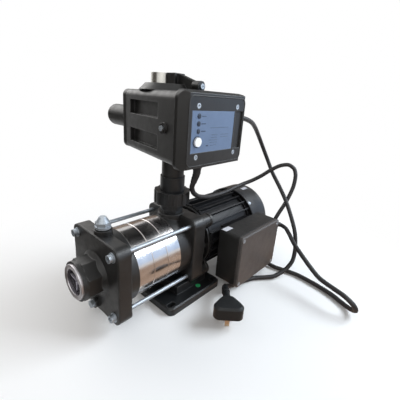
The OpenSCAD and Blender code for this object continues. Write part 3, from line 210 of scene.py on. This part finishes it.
def metal(name, colour, rough, scratch=None):
    """Bare or plated metal. scratch squeezes the fine lines along the axes of the part."""
    look = Look(bpy.data.materials.new(name))
    place = look.place
    if scratch:
        squeezed = {"Vector": look.place, "Scale": scratch}
        place = look.node("ShaderNodeMapping", squeezed).outputs["Vector"]
    tone = look.mottle(look.noise(METAL_LUMPS, 4), colour, 1 - METAL_VARY, 1 + METAL_VARY)
    fine = look.noise(METAL_LINE, 3, 0.6, place)
    roughness = look.spread(fine, rough - ROUGH_SPREAD, rough + ROUGH_SPREAD)
    normal = look.bump(fine, METAL_LINE_DEPTH, look.soft_edges(METAL_EDGE))
    return look.surface(Base_Color=tone, Metallic=1.0, Roughness=roughness, Normal=normal)


SHEET_LINE = 0.00025
SHEET_LINE_DEPTH = 0.000012
SHEET_LINE_TURN = 0.0035
SHEET_PATCH = 0.03
SHEET_ROUGH_SPREAD = 0.08
SHEET_EDGE = 0.0003


def turned_metal(name, colour, rough):
    """Sheet turned about the shaft: fine lines run round it."""
    look = Look(bpy.data.materials.new(name))
    parts = look.node("ShaderNodeSeparateXYZ", {"Vector": look.place}).outputs
    above = look.maths("SUBTRACT", parts["Z"], SHAFT_Z * MM)
    angle = look.maths("ARCTAN2", parts["Y"], above)
    slow = look.maths("MULTIPLY", angle, SHEET_LINE_TURN)
    lines = look.node("ShaderNodeCombineXYZ", {"X": parts["X"], "Y": slow}).outputs[0]
    fine = look.noise(SHEET_LINE, 3, 0.6, lines)
    patches = look.noise(SHEET_PATCH, 4)
    tone = look.mottle(patches, colour, 0.94, 1.04)
    smear = look.spread(patches, -SHEET_ROUGH_SPREAD / 2, SHEET_ROUGH_SPREAD / 2)
    streaks = look.spread(fine, rough - SHEET_ROUGH_SPREAD, rough + SHEET_ROUGH_SPREAD)
    roughness = look.maths("ADD", streaks, smear)
    normal = look.bump(fine, SHEET_LINE_DEPTH, look.soft_edges(SHEET_EDGE))
    return look.surface(Base_Color=tone, Metallic=1.0, Roughness=roughness, Normal=normal)


# The edge_highlight value of a finish sets how much lighter its sharp edges are painted, a painted
# highlight
FINISHES = {
    "cast_black": (moulded, dict(
        colour=(0.011, 0.0108, 0.0105), rough=0.42, grain=0.0009, grain_depth=0.00006, lumps=0.025,
        edge=0.0014, edge_highlight=0.03)),
    "pale_metal": (metal, dict(colour=(0.60, 0.58, 0.60), rough=0.40)),
    "bright_steel": (metal, dict(colour=(0.40, 0.44, 0.48), rough=0.55, scratch=(1, 8, 8))),
    "stainless": (turned_metal, dict(colour=(0.62, 0.60, 0.59), rough=0.20)),
    "dark_plastic": (moulded, dict(colour=(0.05, 0.055, 0.06), rough=0.45)),
    "black_rubber": (moulded, dict(colour=(0.012, 0.012, 0.012), rough=0.6, gloss=0.3)),
    "seal_carbon": (moulded, dict(colour=(0.04, 0.04, 0.042), rough=0.35)),
    "ceramic": (moulded, dict(colour=(0.8, 0.77, 0.7), rough=0.25, vary=0.04)),
    "bearing_steel": (metal, dict(colour=(0.55, 0.56, 0.58), rough=0.15)),
    "motor_paint": (moulded, dict(
        colour=(0.006, 0.006, 0.007), rough=0.40, grain=0.0012, grain_depth=0.00008, lumps=0.03,
        edge=0.0008, edge_highlight=0.03, gloss=0.2)),
    "lamination": (metal, dict(colour=(0.25, 0.26, 0.27), rough=0.4, scratch=(12, 1, 1))),
    "copper_winding": (metal, dict(colour=(0.55, 0.22, 0.08), rough=0.3, scratch=(1, 6, 6))),
    "fan_cover_paint": (moulded, dict(
        colour=(0.018, 0.019, 0.021), rough=0.38, grain=0.0008, grain_depth=0.00004, lumps=0.04,
        vary=0.2, edge=0.0016, edge_highlight=0.02, gloss=0.4)),
    "base_plastic": (moulded, dict(
        colour=(0.008, 0.009, 0.010), rough=0.38, grain=0.0007, lumps=0.03,
        edge=0.0016, edge_highlight=0.04, gloss=0.42)),
    "box_plastic": (moulded, dict(
        colour=(0.013, 0.013, 0.013), rough=0.45, grain_depth=0.00005, lumps=0.03, vary=0.2,
        edge=0.001, edge_highlight=0.04, gloss=0.35)),
    "box_cover_plastic": (moulded, dict(
        colour=(0.058, 0.052, 0.050), rough=0.42, grain=0.0005, lumps=0.03, vary=0.15,
        edge=0.0012, edge_highlight=0.05, gloss=0.6)),
    "pale_plastic": (moulded, dict(colour=(0.7, 0.69, 0.64), rough=0.4, vary=0.05)),
    "gland_grey": (moulded, dict(colour=(0.42, 0.4, 0.41), rough=0.4, vary=0.1)),
    "union_plastic": (moulded, dict(
        colour=(0.009, 0.010, 0.011), rough=0.42, grain_depth=0.00004, edge_highlight=0.025, gloss=0.4)),
    "controller_plastic": (moulded, dict(
        colour=(0.009, 0.0088, 0.0085), rough=0.42, lumps=0.03, vary=0.2,
        edge=0.0014, edge_highlight=0.03, gloss=0.4)),
    "board_green": (moulded, dict(colour=(0.03, 0.14, 0.05), rough=0.3)),
    "label_blue": (moulded, dict(
        colour=(0.107, 0.158, 0.257), rough=0.5, grain=0.0004, grain_depth=0.000008, lumps=0.03,
        vary=0.06, edge=0.0003, gloss=0.4)),
    "lens_dark": (moulded, dict(colour=(0.02, 0.03, 0.05), rough=0.12)),
    "button_white": (moulded, dict(colour=(0.82, 0.83, 0.84), rough=0.3, vary=0.03)),
    "nickel": (metal, dict(colour=(0.60, 0.59, 0.55), rough=0.28, scratch=(1, 1, 14))),
    "lead_rubber": (moulded, dict(
        colour=(0.020, 0.019, 0.020), rough=0.5, vary=0.2, edge=0.0003, gloss=0.35)),
    "plug_rubber": (moulded, dict(
        colour=(0.009, 0.010, 0.011), rough=0.45, grain=0.0005, grain_depth=0.00004, lumps=0.015,
        vary=0.2, edge=0.001, edge_highlight=0.04, gloss=0.3)),
    "pin_brass": (metal, dict(colour=(0.58, 0.46, 0.32), rough=0.35)),
    # Finishes of small pieces that no solid has
    "paper_white": (moulded, dict(colour=(0.62, 0.63, 0.68), rough=0.6, vary=0.04, gloss=0.3)),
    "sticker_green": (moulded, dict(colour=(0.03, 0.34, 0.12), rough=0.5, vary=0.1, gloss=0.3)),
    "thread_shade": (metal, dict(colour=(0.16, 0.15, 0.17), rough=0.45)),
    "cross_grey": (moulded, dict(colour=(0.36, 0.34, 0.39), rough=0.45, vary=0.08)),
    "print_dark": (moulded, dict(colour=(0.030, 0.045, 0.080), rough=0.5, vary=0.1, gloss=0.3)),
    "print_soft": (moulded, dict(colour=(0.075, 0.105, 0.160), rough=0.5, vary=0.1, gloss=0.3)),
}

materials = {name: make(name, **values) for name, (make, values) in FINISHES.items()}


def dress(obj, finish):
    """Gives a piece its finish."""
    obj.data.materials.clear()
    obj.data.materials.append(materials[finish])


# Cords

MOTOR_ROUTE = [
    (3, -45, 208), (3, -45, 200), (3, -41, 188), (6, -35, 176), (16, -30, 164), (32, -26, 154),
    (54, -18, 146), (78, -11, 139), (98, -9, 137), (118, -9, 137), (134, -9, 138), (150, -9, 140),
    (168, -10, 142), (182, -13, 145), (196, -20, 150), (208, -33, 161), (217, -46, 174),
    (226, -60, 185), (233, -74, 189), (237, -85, 183), (235, -91, 171), (229, -93, 150),
    (216, -90, 122), (199, -85, 97), (188, -80, 70), (181, -77, 46), (177, -78, 26), (174, -85, 11),
    (173, -98, 5), (174, -112, 4), (178, -128, 4), (182, -148, 4), (181, -168, 4), (178, -190, 4),
    (172, -215, 4), (163, -235, 4), (155, -248, 6), (147, -257, 13), (141, -253, 24),
    (142, -238, 31), (147, -216, 33), (152, -195, 36), (158, -173, 47), (165, -153, 58),
    (175, -135, 66), (189, -119, 72), (202, -105, 75), (205, -93, 77), (200, -86, 78),
    (192, -84, 78), (184, -84, 78)]

PLUG_ROUTE = [
    (75, -42, 275), (84, -42, 275), (98, -42, 274), (115, -42, 272), (140, -38, 266), (165, -31, 256),
    (190, -26, 239), (212, -26, 216), (226, -32, 192), (228, -46, 168), (220, -68, 148),
    (208, -92, 127), (200, -111, 103), (195, -126, 77), (190, -134, 51), (182, -137, 29),
    (170, -134, 16), (158, -129, 9), (143, -123, 5), (128, -112, 4), (113, -101, 4), (95, -94, 4),
    (76, -90, 5), (58, -87, 8), (44, -88, 14), (33, -95, 21), (20, -106, 25)]

LEAD_R = 3.75
PATH_STEPS = 6
PATH_PULL = 0.42


def smooth_path(points):
    """A curve through every point, in metres, with even steps between two points."""
    points = [Vector(p) * MM for p in points]
    ends = [points[0] * 2 - points[1]] + points + [points[-1] * 2 - points[-2]]
    made = []
    for i in range(1, len(ends) - 2):
        before, here, there, after = ends[i - 1:i + 3]
        span = (there - here).length
        leave = (there - before) / (span + (here - before).length) * span * PATH_PULL * 2
        reach = (after - here) / (span + (after - there).length) * span * PATH_PULL * 2
        for k in range(PATH_STEPS):
            t = k / PATH_STEPS
            made.append(here * (2 * t**3 - 3 * t**2 + 1) + leave * (t**3 - 2 * t**2 + t)
                        + there * (3 * t**2 - 2 * t**3) + reach * (t**3 - t**2))
    return made + [points[-1]]


def lead(name, path, node):
    """A round cord along a path, in the place of a node."""
    data = bpy.data.curves.new(name, "CURVE")
    data.dimensions = "3D"
    data.bevel_depth = LEAD_R * MM
    data.bevel_resolution = 5
    data.use_fill_caps = True
    spline = data.splines.new("POLY")
    spline.points.add(len(path) - 1)
    for point, place in zip(spline.points, path):
        point.co = (*place, 1)
    made = link(bpy.data.objects.new(name, data))
    dress(made, "lead_rubber")
    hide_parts(node)
    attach(made, "pump")
    return made


motor_path = smooth_path(MOTOR_ROUTE)
plug_path = smooth_path(PLUG_ROUTE)
motor_cable = lead("motor_cable", motor_path, "motor_lead")
plug_cable = lead("plug_cable", plug_path, "plug_lead")


# Shapes, in millimetres but for paths

def spot(x, y, z):
    return Vector((x, y, z)) * MM


def shift(x, y, z):
    return Matrix.Translation(spot(x, y, z))


def quarter_turn(axis):
    return Matrix.Rotation(math.radians(90), 4, axis)


SHAFT = shift(0, 0, SHAFT_Z) @ quarter_turn("Y")


def add_mesh(name, build, finish, smooth=30):
    """A piece made by build(mesh), shaded smooth below an angle, riding on the pump."""
    work = bmesh.new()
    build(work)
    bmesh.ops.recalc_face_normals(work, faces=work.faces[:])
    data = bpy.data.meshes.new(name)
    work.to_mesh(data)
    work.free()
    for face in data.polygons:
        face.use_smooth = True
    data.set_sharp_from_angle(angle=math.radians(smooth))
    made = link(bpy.data.objects.new(name, data))
    dress(made, finish)
    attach(made, "pump")
    return made


def skin(work, loops, capped=True):
    """Faces from each loop of vertices to the next, and over both ends."""
    for low, high in zip(loops, loops[1:]):
        for i in range(len(low)):
            k = (i + 1) % len(low)
            work.faces.new((low[i], low[k], high[k], high[i]))
    if capped:
        work.faces.new(reversed(loops[0]))
        work.faces.new(loops[-1])


def circle(sides):
    """The cosine and sine of even turns."""
    turns = [2 * math.pi * i / sides for i in range(sides)]
    return [(math.cos(turn), math.sin(turn)) for turn in turns]


def corner_outline(half_w, half_h, radius, steps=10):
    """Rectangle with round corners, as points."""
    points = []
    for k, (sx, sy) in enumerate(((1, 1), (-1, 1), (-1, -1), (1, -1))):
        for i in range(steps + 1):
            angle = math.radians(90 * k + 90 * i / steps)
            points.append((sx * (half_w - radius) + radius * math.cos(angle),
                           sy * (half_h - radius) + radius * math.sin(angle)))
    return points


def slab(work, outline, low, high, place):
    """Extrudes an outline between two heights."""
    loops = []
    for level in (low, high):
        loops.append([work.verts.new(place @ spot(x, y, level)) for x, y in outline])
    skin(work, loops)


def lathe(work, profile, place, sides=48, closed=False):
    """Turns a profile of (radius, height) about the local Z axis; radius 0 is one point."""
    rings = []
    for radius, height in profile:
        corners = circle(sides) if radius else [(0, 0)]
        rings.append([work.verts.new(place @ spot(radius * c, radius * s, height)) for c, s in corners])
    if closed:
        rings.append(rings[0])
    for low, high in zip(rings, rings[1:]):
        for i in range(sides):
            k = (i + 1) % sides
            if len(low) == 1:
                work.faces.new((low[0], high[k], high[i]))
            elif len(high) == 1:
                work.faces.new((low[i], low[k], high[0]))
            else:
                work.faces.new((low[i], low[k], high[k], high[i]))


def swept(work, path, radii, sides=28):
    """A round skin along a path in metres, with one radius at each point, closed at both ends."""
    rings = []
    side = Vector((0, 0, 1)).cross(path[1] - path[0])
    if side.length < 1e-6:
        side = Vector((1, 0, 0))
    side.normalize()
    for i, (point, radius) in enumerate(zip(path, radii)):
        ahead = (path[min(i + 1, len(path) - 1)] - path[max(i - 1, 0)]).normalized()
        side = (side - ahead * side.dot(ahead)).normalized()
        other = ahead.cross(side)
        rings.append([work.verts.new(point + (side * c + other * s) * radius * MM)
                      for c, s in circle(sides)])
    skin(work, rings)


def along(path, length, pieces=40):
    """Points at even steps along a path's first stretch."""
    made = []
    walked, i = 0.0, 0
    for k in range(pieces + 1):
        target = length * MM * k / pieces
        while i < len(path) - 2 and walked + (path[i + 1] - path[i]).length < target:
            walked += (path[i + 1] - path[i]).length
            i += 1
        span = (path[i + 1] - path[i]).length
        made.append(path[i].lerp(path[i + 1], (target - walked) / span))
    return made


BOOT_TIP_R = 4.3
BOOT_RIB = 0.35


def boot(name, path, length=24, root_r=5.9, ribs=5, finish="lead_rubber"):
    """A tapered strain relief with ribs round it, along the start of a cord."""
    points = along(path, length)
    radii = []
    for i in range(len(points)):
        t = i / (len(points) - 1)
        rib = BOOT_RIB * max(0.0, math.sin(2 * math.pi * ribs * t - math.pi / 2))
        radii.append(root_r + (BOOT_TIP_R - root_r) * t**0.8 + rib * (1 - 0.5 * t))
    radii[0] = root_r * 0.96
    radii[-1] = BOOT_TIP_R * 0.94
    return add_mesh(name, lambda work: swept(work, points, radii), finish, smooth=60)


motor_boot = boot("motor_lead_boot", motor_path)
plug_boot = boot("plug_lead_boot", plug_path)
box_boot = boot("box_lead_boot", motor_path[::-1])
neck_boot = boot("plug_neck_boot", plug_path[::-1], 34, 6.2, 6, "plug_rubber")


# Flanges

def flange(work, start, length, half, radius, edge):
    """Square flange across the shaft, its corners round and its edges eased."""
    loops = []
    for level, inset in ((0, edge), (edge, 0), (length - edge, 0), (length, edge)):
        outline = corner_outline(half - inset, half - inset, radius - inset)
        loops.append([work.verts.new(SHAFT @ spot(x, y, start + level)) for x, y in outline])
    skin(work, loops)


add_mesh("suction_flange_skin", lambda work: flange(work, COVER_X - 0.3, 19.6, 54.7, 13, 1.6),
         "cast_black", smooth=40)
add_mesh("discharge_flange_skin", lambda work: flange(work, -1.3, 23.6, 54.6, 12.5, 1.4),
         "cast_black", smooth=40)


# Suction port

PORT = SHAFT @ shift(0, 0, PORT_X)
PORT_SIDES = 72
THREAD_TURNS = 8
THREAD_PITCH = 2.31
THREAD_CREST_R = 15.3
THREAD_ROOT_R = 16.7
CROSS_DEPTH = 4.5
CROSS_TURN = 8


def port_insert(work):
    """Metal insert of the suction port: a sleeve with an eased rim."""
    profile = [(22.4, 0), (23, 0.6), (23, 21.9), (17.2, 21.9), (17.2, 1.0), (17.7, 0.3), (18.2, 0)]
    lathe(work, profile, PORT, PORT_SIDES, True)


def port_thread(work):
    """Thread inside the insert, one ridge for each turn."""
    profile = [(17.4, 1.2), (17.4, 21.8), (THREAD_ROOT_R, 21.8)]
    for i in range(THREAD_TURNS):
        level = 20 - THREAD_PITCH * i
        profile += [(THREAD_CREST_R, level), (THREAD_CREST_R, level - 0.4),
                    (THREAD_ROOT_R, level - 1.15), (THREAD_ROOT_R, level - 1.5)]
    profile += [(16.9, 1.2)]
    lathe(work, profile, PORT, PORT_SIDES, True)


def port_cross(work):
    """Thin cross rib inside the port."""
    for turn in (CROSS_TURN, CROSS_TURN + 90):
        place = PORT @ shift(0, 0, CROSS_DEPTH) @ Matrix.Rotation(math.radians(turn), 4, "Z")
        slab(work, corner_outline(16.2, 0.8, 0.3, 3), 0, 2.6, place)


insert = add_mesh("port_insert", port_insert, "pale_metal", smooth=35)
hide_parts("suction_insert")
add_mesh("port_thread", port_thread, "thread_shade", smooth=35)
add_mesh("port_cross", port_cross, "cross_grey")


# Panel print

PRINT_DEPTH = -0.2
LENS_X, LENS_LEVELS = -36, (18, 9.5, 1)
BUTTON_X, BUTTON_Z = -37, -11
DASHES = [(-27.5, 18, 8, 0.7), (-27.5, 9.5, 8, 0.9), (-27.5, 1, 8, 1.1), (-18.5, -16.5, 4, 1.3)]
LINES = [(3, 4.5, 36, 0.5), (-6, -4, 12, 0.5), (-6, -7, 12, 0.5), (-8, -10, 16, 0.5),
         (-7, -13, 14, 0.5), (14, -4, 16, 0.5), (14, -7, 16, 0.5), (-7, -16.5, 12, 0.6)]


def on_panel(x, z):
    """Places a shape on the controller's face, its own Z pointing out of the face."""
    return shift(x, FACE_Y, CONTROLLER_Z + z) @ quarter_turn("X")


def panel_bars(work, bars):
    """Plain bars of the print, each with its middle, width and height."""
    for x, z, wide, high in bars:
        outline = corner_outline(wide / 2, high / 2, min(wide, high) * 0.3, 3)
        slab(work, outline, PRINT_DEPTH, 0.12, on_panel(x, z))


def print_ring(work, inner, outer, proud, place, sides):
    profile = [(inner, PRINT_DEPTH), (inner, proud), (outer, proud), (outer, PRINT_DEPTH)]
    lathe(work, profile, place, sides, True)


def panel_rings(work):
    """A ring round each lamp and one round the button."""
    for z in LENS_LEVELS:
        print_ring(work, 2.2, 3.0, 0.25, on_panel(LENS_X, z), 32)
    print_ring(work, 5.9, 6.7, 0.4, on_panel(BUTTON_X, BUTTON_Z), 40)


def panel_rim(work):
    """Raised line that follows the face's round corners."""
    loops = []
    for inset, proud in ((2.2, -0.3), (2.6, 0.5), (3.6, 0.5), (4.0, -0.3)):
        outline = corner_outline(56 - inset, 43 - inset, 9 - inset / 2)
        loops.append([work.verts.new(on_panel(0, 0) @ spot(x, y, proud)) for x, y in outline])
    skin(work, loops + loops[:1], capped=False)


add_mesh("panel_rings", panel_rings, "print_dark")
add_mesh("panel_dashes", lambda work: panel_bars(work, DASHES), "print_dark")
add_mesh("panel_lines", lambda work: panel_bars(work, LINES), "print_soft")
add_mesh("panel_rim", panel_rim, "controller_plastic", smooth=50)


# Stickers

def box_sticker(work):
    slab(work, corner_outline(9, 5, 1, 3), -0.1, 0.15, shift(61.5, -67, BOX_TOP))


def base_sticker(work):
    profile = [(0, -0.1), (4.2, -0.1), (4.2, 0.12), (3.9, 0.16), (0, 0.16)]
    lathe(work, profile, shift(15, -54, BASE_TOP), 40)


def cover_sticker(work):
    """Small plate that follows the round of the fan cover."""
    start, end, steps = math.radians(8), math.radians(14.5), 6
    turns = [start + (end - start) * k / steps for k in range(steps + 1)]
    rings = []
    for x, proud in ((177, -0.1), (177, 0.14), (193, 0.14), (193, -0.1)):
        r = FAN_COVER_R + proud
        rings.append([work.verts.new(spot(x, -r * math.sin(a), SHAFT_Z + r * math.cos(a)))
                      for a in turns])
    for back, front in zip(rings, rings[1:] + rings[:1]):
        for k in range(steps):
            work.faces.new((back[k], back[k + 1], front[k + 1], front[k]))
    for k in (0, steps):
        work.faces.new([ring[k] for ring in rings])


add_mesh("box_sticker", box_sticker, "paper_white")
add_mesh("base_sticker", base_sticker, "sticker_green")
add_mesh("cover_sticker", cover_sticker, "paper_white")


# CAD nodes keep their shape and get their finish

slot_of = {row["node"]: row["material_slot"] for row in frame["record"]["subparts"]}
for node, obj in frame["nodes"].items():
    if node in slot_of:
        dress(obj, slot_of[node])


# Light, floor and the cards that the metal reflects

PUMP_MIDDLE = (0.03, -0.03, 0.12)
CASINGS_MIDDLE = (-0.05, -0.03, 0.1)
FLOOR_MIDDLE = (0.04, -0.05, -0.0004)
FLOOR_HALF = 6.0
SHADE_REACH = 0.21
WHITE_REACH = 0.48
SKY_LIGHT = 0.26


def aim(obj, centre, target):
    obj.location = centre
    obj.rotation_mode = "QUATERNION"
    obj.rotation_quaternion = (Vector(target) - Vector(centre)).to_track_quat("-Z", "Y")


def lamp(name, centre, size, power, colour):
    """A rectangular lamp that points at the pump."""
    data = bpy.data.lights.new(name, "AREA")
    data.shape = "RECTANGLE"
    data.size, data.size_y = size
    data.energy = power
    data.color = colour
    aim(link(bpy.data.objects.new(name, data)), centre, PUMP_MIDDLE)


def board(name, size, material):
    """A flat rectangle about its own middle."""
    data = bpy.data.meshes.new(name)
    w, h = size[0] / 2, size[1] / 2
    data.from_pydata([(-w, -h, 0), (w, -h, 0), (w, h, 0), (-w, h, 0)], [], [(0, 1, 2, 3)])
    data.materials.append(material)
    return link(bpy.data.objects.new(name, data))


def card(name, centre, size, colour, other, lumps=0.3, target=CASINGS_MIDDLE, strength=1.0):
    """A plain board of two tones that only shows in reflections."""
    look = Look(bpy.data.materials.new(name))
    tone = look.mix(look.spread(look.noise(lumps, 3), 0, 1, 0.4, 0.6), rgba(colour), rgba(other))
    glow = look.node("ShaderNodeEmission", {"Color": tone, "Strength": strength}).outputs[0]
    made = board(name, size, look.output(glow))
    aim(made, centre, target)
    for flag in ("camera", "diffuse", "transmission", "volume_scatter", "shadow"):
        setattr(made, "visible_" + flag, False)


def make_floor():
    """Paper near the object, where it holds the shadow, that fades into pure white."""
    look = Look(bpy.data.materials.new("floor"))
    seen = look.seen()
    reach = look.node("ShaderNodeVectorMath", {0: look.place}, operation="LENGTH").outputs["Value"]
    fade = look.spread(reach, 0.04, 1.0, SHADE_REACH, WHITE_REACH)
    share = look.maths("MULTIPLY", seen, fade)
    white = look.node("ShaderNodeEmission", {"Color": WHITE, "Strength": 1.0}).outputs[0]
    grain = look.spread(look.noise(0.002, 3), 0.86, 0.9)
    tone = look.mix(grain, rgba((0.8, 0.8, 0.8)), rgba((0.95, 0.95, 0.95)))
    paper = look.node("ShaderNodeBsdfDiffuse", {"Color": tone}).outputs[0]
    both = look.node("ShaderNodeMixShader", {0: share, 1: paper, 2: white}).outputs[0]
    made = board("floor", (2 * FLOOR_HALF, 2 * FLOOR_HALF), look.output(both))
    made.location = FLOOR_MIDDLE


def make_world():
    """White where it is seen, dimmer where it only lights."""
    world = bpy.data.worlds.new("world")
    bpy.context.scene.world = world
    look = Look(world, placed=False)
    level = look.spread(look.seen(), SKY_LIGHT, 1.0, 0.0, 1.0)
    sky = look.node("ShaderNodeBackground", {"Color": WHITE, "Strength": level}).outputs[0]
    look.node("ShaderNodeOutputWorld", {"Surface": sky})


make_floor()
make_world()

lamp("key", (0.88, -0.80, 0.92), (0.9, 0.6), 22, (0.86, 0.93, 1.0))
lamp("fill", (-0.9, -0.6, 0.9), (0.9, 0.9), 4, (1.0, 0.97, 0.93))
lamp("back", (-0.2, 1.1, 0.9), (1.2, 0.8), 9, (1.0, 0.98, 0.96))

card("card_top", (0.65, 0.30, 0.70), (0.9, 0.34), (0.02, 0.02, 0.025), (0.05, 0.05, 0.055))
card("card_wall", (0.95, 0.85, 0.28), (1.6, 0.66), (0.30, 0.22, 0.16), (0.20, 0.15, 0.12), 0.25)
card("card_left", (-0.75, 0.45, 0.003), (1.1, 1.5), (0.06, 0.05, 0.04), (0.10, 0.08, 0.065),
     target=(-0.75, 0.45, 1.0))
card("card_low", (-0.1, -0.52, 0.003), (1.5, 0.9), (0.60, 0.44, 0.34), (0.42, 0.29, 0.22), 0.2,
     target=(-0.1, -0.52, 1.0))
card("card_dim", (-1.0, 0.95, 0.45), (1.8, 0.9), (0.045, 0.04, 0.035), (0.07, 0.06, 0.05))
card("card_sky", (0.80, -0.76, 0.42), (1.1, 0.54), (0.50, 0.64, 0.88), (0.44, 0.56, 0.78), strength=1.5)

bpy.context.scene.view_settings.view_transform = "Standard"
